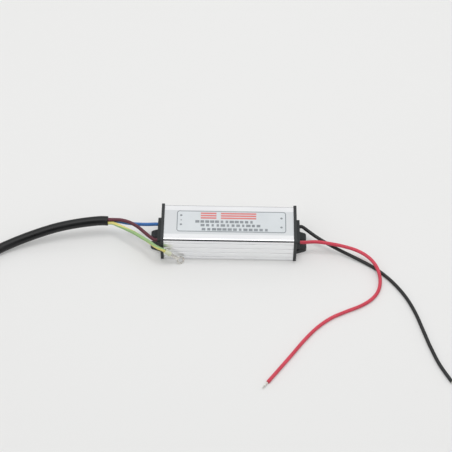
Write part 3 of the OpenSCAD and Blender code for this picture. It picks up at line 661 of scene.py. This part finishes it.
def insulated(name, line, material, inside, beyond=0.0):
    """A core or lead: it starts inside the hole and its cut end is slightly rounded."""
    radius = LEAD_DIAMETER / 2
    narrowed = radius * 0.97
    edge = 0.12 * MM
    end = line.length + beyond
    rings = [(-inside, narrowed), *body_rings(-inside + edge, end - edge, radius), (end, radius - edge)]
    return tube(name, line, rings, LEAD_SIDES, material)


def jacket(name, line, material):
    """The cable's jacket, hollow for a short way at both ends where the cores come out."""
    radius = CABLE_DIAMETER / 2
    bore = 3.3 * MM
    floor = bore * 0.98
    recess = 1.6 * MM
    lip = 0.1 * MM
    edge = 0.2 * MM
    start = [(recess, floor), (lip, bore), (0.0, bore + lip), (0.0, radius - edge)]
    end = [(line.length - distance, size) for distance, size in reversed(start)]
    rings = [*start, *body_rings(edge, line.length - edge, radius), *end]
    return tube(name, line, rings, CABLE_SIDES, material)


def make_strands():
    """Geometry Nodes: wires in a ring round one more, twisted along X."""
    tree, given, result = new_group("twisted_strands", "GeometryNodeTree", {
        "Strands": INTEGER, "Strand Radius": FLOAT, "Ring Radius": FLOAT, "Length": FLOAT, "Twist": FLOAT,
        "Material": MATERIAL,
    }, {"Geometry": GEOMETRY})
    steps = 15
    sides = 10
    wire = out(tree, "GeometryNodeCurvePrimitiveLine", {"End": vector(tree, given["Length"])})
    wire = out(tree, "GeometryNodeResampleCurve", {"Curve": wire, "Count": steps})
    ring = out(tree, "GeometryNodeMeshCircle", {"Vertices": given["Strands"], "Radius": given["Ring Radius"]})
    upright = out(tree, "GeometryNodeTransform", {"Geometry": ring, "Rotation": (0, math.pi / 2, 0)})
    core = out(tree, "GeometryNodeMeshLine", {"Count": 1})
    places = put(tree, "GeometryNodeJoinGeometry")
    tree.links.new(upright, places.inputs[0])
    tree.links.new(core, places.inputs[0])
    copies = out(tree, "GeometryNodeInstanceOnPoints", {"Points": places.outputs[0], "Instance": wire})
    realized = out(tree, "GeometryNodeRealizeInstances", {"Geometry": copies})
    where = out(tree, "GeometryNodeInputPosition")
    along = axes(tree, where)[0]
    turn = maths(tree, "MULTIPLY", maths(tree, "DIVIDE", along, given["Length"]), given["Twist"])
    turned = out(tree, "ShaderNodeVectorRotate", {"Vector": where, "Angle": turn}, rotation_type="X_AXIS")
    twisted = out(tree, "GeometryNodeSetPosition", {"Geometry": realized, "Position": turned})
    section = out(tree, "GeometryNodeCurvePrimitiveCircle", {
        "Resolution": sides, "Radius": given["Strand Radius"],
    })
    solid = out(tree, "GeometryNodeCurveToMesh", {
        "Curve": twisted, "Profile Curve": section, "Fill Caps": True,
    })
    return end_shape(tree, solid, given, result)


def node_made(name, tree, **values):
    """A plain mesh from a Geometry Nodes tree, with its inputs set by name."""
    piece = new_object(name, bpy.data.meshes.new(name))
    modifier = piece.modifiers.new("made", "NODES")
    modifier.node_group = tree
    named = {item.name: item.identifier for item in tree.interface.items_tree if item.in_out == "INPUT"}
    for key, value in values.items():
        modifier[named[key.replace("_", " ")]] = value
    baked(piece)
    piece.data.materials.clear()
    piece.data.materials.append(values["Material"])
    piece.data.polygons.foreach_set("material_index", [0] * len(piece.data.polygons))
    return piece


STRANDS = make_strands()


def bare_strands(name, line):
    """Tinned strands that carry on from where a core's insulation stops."""
    sunk = 0.6 * MM
    strand = CONDUCTOR_DIAMETER / 6
    touching = 1.02
    piece = node_made(name, STRANDS, Strands=STRAND_COUNT, Strand_Radius=strand * touching,
                      Ring_Radius=strand * 2, Length=BARE_END + sunk - strand, Twist=STRAND_TWIST,
                      Material=MATERIALS["tinned_metal"])
    place, heading, side = line.at(line.length - sunk)
    turn = Matrix((heading, side, heading.cross(side))).transposed().to_4x4()
    piece.data.transform(Matrix.Translation(place) @ turn)
    smooth(piece.data, 50)
    return piece


def joined(name, parts):
    """One piece from several, with the parts' own objects removed."""
    whole = bmesh.new()
    for part in parts:
        whole.from_mesh(part.data)
    mesh = bpy.data.meshes.new(name)
    for material in parts[0].data.materials:
        mesh.materials.append(material)
    whole.to_mesh(mesh)
    whole.free()
    for part in parts:
        bpy.data.objects.remove(part)
    return new_object(name, mesh)


def make_leads():
    """Output leads, each with its bare tinned end."""
    for name, points in (("red", RED_ROUTE), ("black", BLACK_ROUTE)):
        line = Line(smooth_route(points, LEAD_DIAMETER / 2))
        lead = insulated(f"{name}_lead_cord", line, MATERIALS[f"{name}_insulation"], IN_HOLE)
        tip = bare_strands(f"{name}_lead_strands", line)
        declare(lead, f"{name}_insulation", f"{name}_lead")
        declare(tip, "tinned_metal", "lead_tips")


def make_input_cores():
    """Brown and blue cores, from the input cap into the cable's jacket."""
    for name, points in (("brown", BROWN_ROUTE), ("blue", BLUE_ROUTE)):
        line = Line(smooth_route(points, LEAD_DIAMETER / 2))
        core = insulated(f"{name}_core_cord", line, MATERIALS[f"{name}_insulation"], IN_HOLE, IN_JACKET)
        declare(core, f"{name}_insulation", f"{name}_core")


def make_earth_core():
    """Loose earth core with its ring terminal."""
    line = Line(smooth_route(EARTH_ROUTE, LEAD_DIAMETER / 2))
    core = insulated("earth_core_cord", line, MATERIALS["earth_insulation"], IN_JACKET, IN_BARREL)
    plate, sleeve = make_terminal(line)
    declare(core, "earth_insulation", "earth_core")
    declare(plate, "tinned_metal", "ring_terminal")
    declare(sleeve, "earth_insulation", "ring_terminal")


def make_mains_cable():
    """Mains cable with its three cores stripped at the far end."""
    line = Line(smooth_route(MAINS_ROUTE, CABLE_DIAMETER / 2))
    cable = jacket("mains_cable_jacket", line, MATERIALS["cable_jacket"])
    declare(cable, "cable_jacket", "mains_cable")
    tips = []
    for name, points in (("brown", BROWN_END_ROUTE), ("blue", BLUE_END_ROUTE), ("earth", EARTH_END_ROUTE)):
        core_line = Line(smooth_route(points, LEAD_DIAMETER / 2))
        core = insulated(f"{name}_end_core", core_line, MATERIALS[f"{name}_insulation"], IN_JACKET)
        declare(core, f"{name}_insulation", f"{name}_end")
        tips.append(bare_strands(f"{name}_end_strands", core_line))
    strands = declare(joined("cable_end_strands", tips), "tinned_metal", "cable_tips")


def outline_plate(name, outline, holes, thickness, bevel):
    """A flat plate with bevelled edges from closed outlines in its own plane."""
    curve = bpy.data.curves.new(name, "CURVE")
    curve.dimensions = "2D"
    curve.fill_mode = "BOTH"
    curve.extrude = thickness / 2 - bevel
    curve.bevel_depth = bevel
    curve.bevel_resolution = 2
    curve.offset = -bevel
    for points in (outline, *holes):
        spline = curve.splines.new("POLY")
        spline.points.add(len(points) - 1)
        for point, (x, y) in zip(spline.points, points):
            point.co = (x, y, 0, 1)
        spline.use_cyclic_u = True
    piece = new_object(name, curve)
    depsgraph = bpy.context.evaluated_depsgraph_get()
    mesh = bpy.data.meshes.new_from_object(piece.evaluated_get(depsgraph))
    bpy.data.objects.remove(piece)
    mended(mesh)
    smooth(mesh, 30)
    return mesh


def circle_points(radius, count, centre=(0.0, 0.0)):
    """Points of a circle in a plate's plane."""
    angles = [math.tau * i / count for i in range(count)]
    return [(centre[0] + radius * math.cos(a), centre[1] + radius * math.sin(a)) for a in angles]


def barrel_radius(x, angle):
    """Outer radius of the crimp barrel: two dents above and a seam below."""
    dent_places = (0.36, 0.68)
    dent_length = 0.09
    dent_spread = 0.55
    dent_depth = 0.32 * MM
    seam_spread = 0.07
    seam_depth = 0.28 * MM
    radius = BARREL_DIAMETER / 2
    across = ((angle - math.pi / 2) / dent_spread) ** 2
    for place in dent_places:
        along = ((x / BARREL_LENGTH - place) / dent_length) ** 2
        radius -= dent_depth * math.exp(-along - across)
    seam = math.exp(-((angle - 1.5 * math.pi) / seam_spread) ** 2)
    return radius - seam_depth * seam


def make_barrel():
    """Sleeved crimp barrel along X, open at both ends."""
    inner = 1.52 * MM
    mouth = 0.5 * MM
    flare = 0.15 * MM
    sides = 40
    steps = 36
    angles = [math.tau * k / sides for k in range(sides)]
    stations = [BARREL_LENGTH * i / steps for i in range(steps + 1)]
    bore = [(BARREL_LENGTH, inner), (BARREL_LENGTH / 2, inner), (mouth, inner), (0.0, inner + flare)]
    rings = [[(x, barrel_radius(x, a), a) for a in angles] for x in stations]
    rings += [[(x, radius, a) for a in angles] for x, radius in bore]
    points = [(x, r * math.cos(a), r * math.sin(a)) for ring in rings for x, r, a in ring]
    faces = []
    for i in range(len(rings)):
        after = (i + 1) % len(rings)
        for k in range(sides):
            nearby = (k + 1) % sides
            faces.append((i * sides + k, after * sides + k, after * sides + nearby, i * sides + nearby))
    mesh = bpy.data.meshes.new("crimp_barrel")
    mesh.from_pydata(points, [], faces)
    mended(mesh)
    return mesh


def make_ring_plate():
    """Flat plate of the terminal along X: a tongue that widens into a ring."""
    neck = TONGUE_WIDTH / 2
    ring = RING_DIAMETER / 2
    heel = (-0.6 * MM, neck * 1.25)
    flank = (1.2 * MM, neck * 1.2)
    waist = (2.6 * MM, neck)
    bevel = 0.12 * MM
    steps = 48
    meet = math.asin(neck / ring)
    angles = [-math.pi + meet + (math.tau - 2 * meet) * i / steps for i in range(steps + 1)]
    arc = [(TONGUE_LENGTH + ring * math.cos(a), ring * math.sin(a)) for a in angles]
    outline = [heel, *((x, -y) for x, y in (heel, flank, waist)), *arc, waist, flank]
    hole = list(reversed(circle_points(RING_HOLE / 2, 40, (TONGUE_LENGTH, 0.0))))
    plate = outline_plate("ring_plate", outline, [hole], RING_THICKNESS, bevel)
    plate.transform(Matrix.Translation((TONGUE_START, 0, 0)) @ Matrix.Rotation(TONGUE_BEND, 4, "Y"))
    return plate


def make_terminal(line):
    """Ring terminal on the end of the earth core: a tinned plate, and a sleeve over its crimp barrel."""
    aim = (line.path[-1] - Vector(EARTH_ROUTE[-2]) * MM).normalized()
    turn = Matrix.Rotation(math.atan2(aim.y, aim.x), 4, "Z") @ Matrix.Rotation(-math.asin(aim.z), 4, "Y")
    turn = turn @ Matrix.Rotation(TERMINAL_ROLL, 4, "X")
    pieces = []
    for name, mesh, material in (("earth_ring_plate", make_ring_plate(), MATERIALS["tinned_metal"]),
                                 ("earth_ring_sleeve", make_barrel(), SLEEVE)):
        mesh.transform(Matrix.Translation(line.path[-1]) @ turn)
        smooth(mesh, 40)
        mesh.materials.append(material)
        pieces.append(new_object(name, mesh))
    return pieces


# Tube, label and caps

def break_edges(piece, bevel):
    """Rounds the sharp edges a little and keeps the flat faces flat."""
    breaking = piece.modifiers.new("broken_edges", "BEVEL")
    breaking.width = bevel
    breaking.segments = 2
    breaking.limit_method = "ANGLE"
    breaking.angle_limit = math.radians(40)
    breaking.use_clamp_overlap = False
    baked(piece)
    smooth(piece.data, 35)
    flat = piece.modifiers.new("flat_faces", "WEIGHTED_NORMAL")
    flat.weight = 100
    flat.keep_sharp = True
    return baked(piece)


def dressed_copy(node, name, slot, bevel):
    """A merged copy of a CAD node with its sharp edges broken."""
    same_place = 1e-6
    same_plane = math.radians(0.5)
    work = bmesh.new()
    work.from_mesh(nodes[node].data)
    bmesh.ops.remove_doubles(work, verts=work.verts, dist=same_place)
    bmesh.ops.dissolve_limit(work, angle_limit=same_plane, verts=work.verts, edges=work.edges)
    mesh = bpy.data.meshes.new(name)
    work.to_mesh(mesh)
    work.free()
    mesh.materials.append(MATERIALS[slot])
    return declare(break_edges(new_object(name, mesh), bevel), slot, node)


def prism_along_x(tree, width, height, radius, length):
    """Inside a tree: a bar along X with rounded edges, its middle at the origin."""
    corner_steps = 8
    outline = out(tree, "GeometryNodeCurvePrimitiveQuadrilateral", {"Width": width, "Height": height})
    rounded = out(tree, "GeometryNodeFilletCurve", {
        "Curve": outline, "Count": corner_steps, "Radius": radius, "Limit Radius": True,
    }, mode="POLY")
    face = out(tree, "GeometryNodeFillCurve", {"Curve": rounded}, mode="NGONS")
    drawn = out(tree, "GeometryNodeExtrudeMesh", {"Mesh": face, "Offset Scale": length, "Individual": False})
    closed = put(tree, "GeometryNodeJoinGeometry")
    tree.links.new(drawn, closed.inputs[0])
    tree.links.new(out(tree, "GeometryNodeFlipFaces", {"Mesh": face}), closed.inputs[0])
    merged = out(tree, "GeometryNodeMergeByDistance", {"Geometry": closed.outputs[0], "Distance": SAME_PLACE})
    back = vector(tree, maths(tree, "MULTIPLY", length, -0.5))
    return out(tree, "GeometryNodeTransform", {
        "Geometry": merged, "Translation": back, "Rotation": (math.pi / 2, 0, math.pi / 2),
    })


def moved(tree, geometry, y=0.0, z=0.0):
    """Inside a tree: geometry at another place."""
    return out(tree, "GeometryNodeTransform", {"Geometry": geometry, "Translation": vector(tree, 0.0, y, z)})


def cut_from(tree, body, *cutters):
    """Inside a tree: the body without what the cutters take."""
    node = put(tree, "GeometryNodeMeshBoolean", {"Mesh 1": body}, operation="DIFFERENCE", solver="EXACT")
    for cutter in cutters:
        tree.links.new(cutter, node.inputs["Mesh 2"])
    return node.outputs[0]


def groove_cutters(tree, given, length):
    """Inside a tree: a row of round bars for each side of the tube."""
    bar_sides = 24
    half_width = maths(tree, "MULTIPLY", given["Width"], 0.5)
    span = maths(tree, "SUBTRACT", given["Height"], maths(tree, "MULTIPLY", given["Groove Margin"], 2.0))
    pitch = maths(tree, "DIVIDE", span, maths(tree, "SUBTRACT", given["Grooves"], 1.0))
    cutter = out(tree, "GeometryNodeMeshCylinder", {
        "Vertices": bar_sides, "Radius": given["Groove Radius"], "Depth": length,
    })
    rows = []
    for side in (-1.0, 1.0):
        start = vector(tree, 0.0, maths(tree, "MULTIPLY", half_width, side), given["Groove Margin"])
        spots = out(tree, "GeometryNodeMeshLine", {
            "Count": given["Grooves"], "Start Location": start, "Offset": vector(tree, z=pitch),
        })
        row = out(tree, "GeometryNodeInstanceOnPoints", {
            "Points": spots, "Instance": cutter, "Rotation": (0, math.pi / 2, 0),
        })
        rows.append(out(tree, "GeometryNodeRealizeInstances", {"Geometry": row}))
    return rows


def make_grooved_tube():
    """Geometry Nodes: the extruded tube, with rows of grooves outside and rails for the board inside."""
    tree, given, result = new_group("grooved_tube", "GeometryNodeTree", {
        **{size: FLOAT for size in TUBE_SIZES}, "Grooves": INTEGER, "Material": MATERIAL,
    }, {"Geometry": GEOMETRY})
    half_height = maths(tree, "MULTIPLY", given["Height"], 0.5)
    twice_wall = maths(tree, "MULTIPLY", given["Wall"], 2.0)
    cavity_width = maths(tree, "SUBTRACT", given["Width"], twice_wall)
    cavity_height = maths(tree, "SUBTRACT", given["Height"], twice_wall)
    past_ends = maths(tree, "ADD", given["Length"], CUT_MARGIN)
    bar = prism_along_x(tree, given["Width"], given["Height"], given["Corner Radius"], given["Length"])
    bar = moved(tree, bar, z=half_height)
    cavity = prism_along_x(tree, cavity_width, cavity_height, given["Cavity Radius"], past_ends)
    cavity = moved(tree, cavity, z=half_height)
    rail_length = maths(tree, "ADD", past_ends, CUT_MARGIN)
    rail_width = maths(tree, "MULTIPLY", given["Rail Reach"], 2.0)
    rail = out(tree, "GeometryNodeMeshCube", {
        "Size": vector(tree, rail_length, rail_width, given["Rail Thickness"]),
    })
    wall_line = maths(tree, "MULTIPLY", cavity_width, 0.5)
    half_rail = maths(tree, "MULTIPLY", given["Rail Thickness"], 0.5)
    rails = []
    for side in (-1.0, 1.0):
        for level in (given["Lower Rail"], given["Upper Rail"]):
            middle = maths(tree, "ADD", level, half_rail)
            rails.append(moved(tree, rail, y=maths(tree, "MULTIPLY", wall_line, side), z=middle))
    cavity = cut_from(tree, cavity, *rails)
    body = cut_from(tree, bar, cavity, *groove_cutters(tree, given, past_ends))
    return end_shape(tree, body, given, result)


def make_housing():
    """The tube, with the sharp edges of its cut ends and grooves broken."""
    piece = node_made("housing_tube", make_grooved_tube(), **TUBE_SIZES, Grooves=GROOVE_COUNT,
                      Material=MATERIALS["aluminium"])
    declare(break_edges(piece, TUBE_BEVEL), "aluminium", "housing")


def make_print_row():
    """Geometry Nodes: a row of plain bars of uneven length on the label."""
    tree, given, result = new_group("print_row", "GeometryNodeTree", {
        "Bars": INTEGER, "Start": VECTOR, "Pitch": FLOAT, "Bar Size": VECTOR, "Shortest": FLOAT,
        "Seed": INTEGER, "Material": MATERIAL,
    }, {"Geometry": GEOMETRY})
    spots = out(tree, "GeometryNodeMeshLine", {
        "Count": given["Bars"], "Start Location": given["Start"], "Offset": vector(tree, given["Pitch"]),
    })
    bar = out(tree, "GeometryNodeMeshCube", {"Size": given["Bar Size"]})
    length = put(tree, "FunctionNodeRandomValue", {
        2: given["Shortest"], 3: 1.0, "Seed": given["Seed"],
    }, data_type="FLOAT").outputs[1]
    bars = out(tree, "GeometryNodeInstanceOnPoints", {
        "Points": spots, "Instance": bar, "Scale": vector(tree, length, 1.0, 1.0),
    })
    return end_shape(tree, bars, given, result)


PRINT_ROW = make_print_row()


def print_bars(name, left, right, low, high, count, shortest, seed, material):
    """A row of bars between two ends of the label, in millimetres."""
    pitch = (right - left) / count * MM
    start = (left * MM + pitch / 2, (low + high) / 2 * MM, LABEL_TOP + INK_HEIGHT / 2)
    bar = (pitch * BAR_SHARE, (high - low) * MM, INK_HEIGHT)
    return node_made(name, PRINT_ROW, Bars=count, Start=start, Pitch=pitch, Bar_Size=bar,
                     Shortest=shortest, Seed=seed, Material=material)


def printed(name, outline, holes, material):
    """A flat shape of ink on the label."""
    mesh = outline_plate(name, outline, holes, INK_HEIGHT, INK_BEVEL)
    mesh.transform(Matrix.Translation((0, 0, LABEL_TOP + INK_HEIGHT / 2)))
    mesh.materials.append(material)
    return new_object(name, mesh)


def rounded_frame(inset, steps=8):
    """Points of the label's outline, drawn in by an inset."""
    half_x = LABEL_LENGTH / 2 - inset
    half_y = LABEL_WIDTH / 2 - inset
    radius = LABEL_RADIUS - inset
    points = []
    for turn, (sx, sy) in enumerate(((1, 1), (-1, 1), (-1, -1), (1, -1))):
        for i in range(steps + 1):
            angle = math.pi / 2 * (turn + i / steps)
            points.append((LABEL_SHIFT + sx * (half_x - radius) + radius * math.cos(angle),
                           LABEL_SETBACK + sy * (half_y - radius) + radius * math.sin(angle)))
    return points


def make_label():
    """The label's sheet, a title of red bars, rows of grey bars, dots and a border."""
    dressed_copy("label", "label_sheet", "label_film", LABEL_BEVEL)
    title = []
    for i, low in enumerate(TITLE_LOWS):
        for side, (left, right) in TITLE_BARS.items():
            name = f"title_{side}_{i}"
            title.append(print_bars(name, left, right, low, low + TITLE_HEIGHT, 1, 1.0, 1, RED_INK))
    declare(joined("label_title_band", title), "label_film")
    rows = []
    for left, right, low, high, count, seed in PRINT_ROWS:
        rows.append(print_bars("row", left, right, low, high, count, SHORTEST_BAR, seed, DARK_INK))
    for x, y, radius in DOTS:
        rows.append(printed("dot", circle_points(radius * MM, 24, (x * MM, y * MM)), [], DARK_INK))
    declare(joined("label_rows_and_dots", rows), "label_film")
    outer, inner = (rounded_frame(inset) for inset in BORDER_INSETS)
    declare(printed("label_border", outer, [list(reversed(inner))], LINE_INK), "label_film")


# Inner parts

def dress_inner_parts():
    """Nodes that no piece replaces keep their CAD shape and get the finish of their slot."""
    for part in frame["record"]["subparts"]:
        if part["node"] not in REPLACED:
            for place in nodes[part["node"]].material_slots:
                place.material = MATERIALS[part["material_slot"]]


# Table and light

def table_finish(name):
    """White table; part of its white doesn't depend on the light, so that the shadows stay pale."""
    material = finish(name, TABLE_WHITE, (234, 234, 233), (0.6, 0.8), 3 * MM, 0.01 * MM, blotch=0.4)
    tree = material.node_tree
    rays = put(tree, "ShaderNodeLightPath").outputs
    seen = maths(tree, "ADD", rays["Is Camera Ray"], rays["Is Glossy Ray"])
    seen = maths(tree, "ADD", seen, rays["Is Transmission Ray"])
    share = maths(tree, "MULTIPLY", seen, TABLE_GLOW)
    glow = out(tree, "ShaderNodeEmission", {"Color": colour(*TABLE_WHITE)})
    mix = out(tree, "ShaderNodeMixShader", {0: share, 1: shader_of(material).outputs[0], 2: glow})
    tree.links.new(mix, tree.nodes["Material Output"].inputs["Surface"])
    return material


def flat_piece(name, corners, material):
    """One flat face of the stage."""
    mesh = bpy.data.meshes.new(name)
    mesh.from_pydata(corners, [], [(0, 1, 2, 3)])
    mesh.materials.append(material)
    return new_object(name, mesh)


def make_stage():
    """White table, and the dark card, which only reflections show."""
    table = flat_piece("table", [
        (-TABLE_HALF, -TABLE_HALF, 0), (TABLE_HALF, -TABLE_HALF, 0), (TABLE_HALF, TABLE_HALF, 0),
        (-TABLE_HALF, TABLE_HALF, 0),
    ], table_finish("white_table"))
    card = flat_piece("dark_card", [
        (-CARD_HALF_WIDTH, *CARD_FOOT), (CARD_HALF_WIDTH, *CARD_FOOT), (CARD_HALF_WIDTH, *CARD_HEAD),
        (-CARD_HALF_WIDTH, *CARD_HEAD),
    ], finish("dark_card", (46, 46, 48), (42, 42, 44), (0.8, 0.9), 5 * MM, 0.01 * MM))
    card.visible_camera = False


def add_lamp(name, place, side, radiance):
    """A square area lamp that faces down."""
    data = bpy.data.lights.new(name, "AREA")
    data.shape = "SQUARE"
    data.size = side
    data.energy = radiance * math.pi * side ** 2
    lamp = new_object(name, data)
    lamp.matrix_world = Matrix.Translation(place)
    return lamp


def make_light():
    """A bright room, a wide softbox that the metal shines with, and a smaller lamp that casts the shadows."""
    world = bpy.data.worlds.new("room")
    world.use_nodes = True
    tree = world.node_tree
    background = tree.nodes["Background"].inputs
    where = put(tree, "ShaderNodeTexCoord").outputs["Generated"]
    height = axes(tree, where)[2]
    background["Color"].default_value = (1, 1, 1, 1)
    tree.links.new(ramp(tree, height, *ROOM_FADE, ROOM_DIM, ROOM_BRIGHT), background["Strength"])
    bpy.context.scene.world = world
    softbox = add_lamp("softbox", (0, -0.2, LAMP_HEIGHT), side=1.3, radiance=0.92)
    softbox.visible_diffuse = False
    top_lamp = add_lamp("top_lamp", (0, 0.08, LAMP_HEIGHT), side=0.5, radiance=6.2)
    top_lamp.visible_glossy = False


make_camera()
make_leads()
make_input_cores()
make_earth_core()
make_mains_cable()
make_housing()
make_label()
for cap in ("input_cap", "output_cap"):
    dressed_copy(cap, f"{cap}_moulding", "cap_plastic", CAP_BEVEL)
dress_inner_parts()
make_stage()
make_light()
bpy.context.scene.view_settings.view_transform = "Standard"
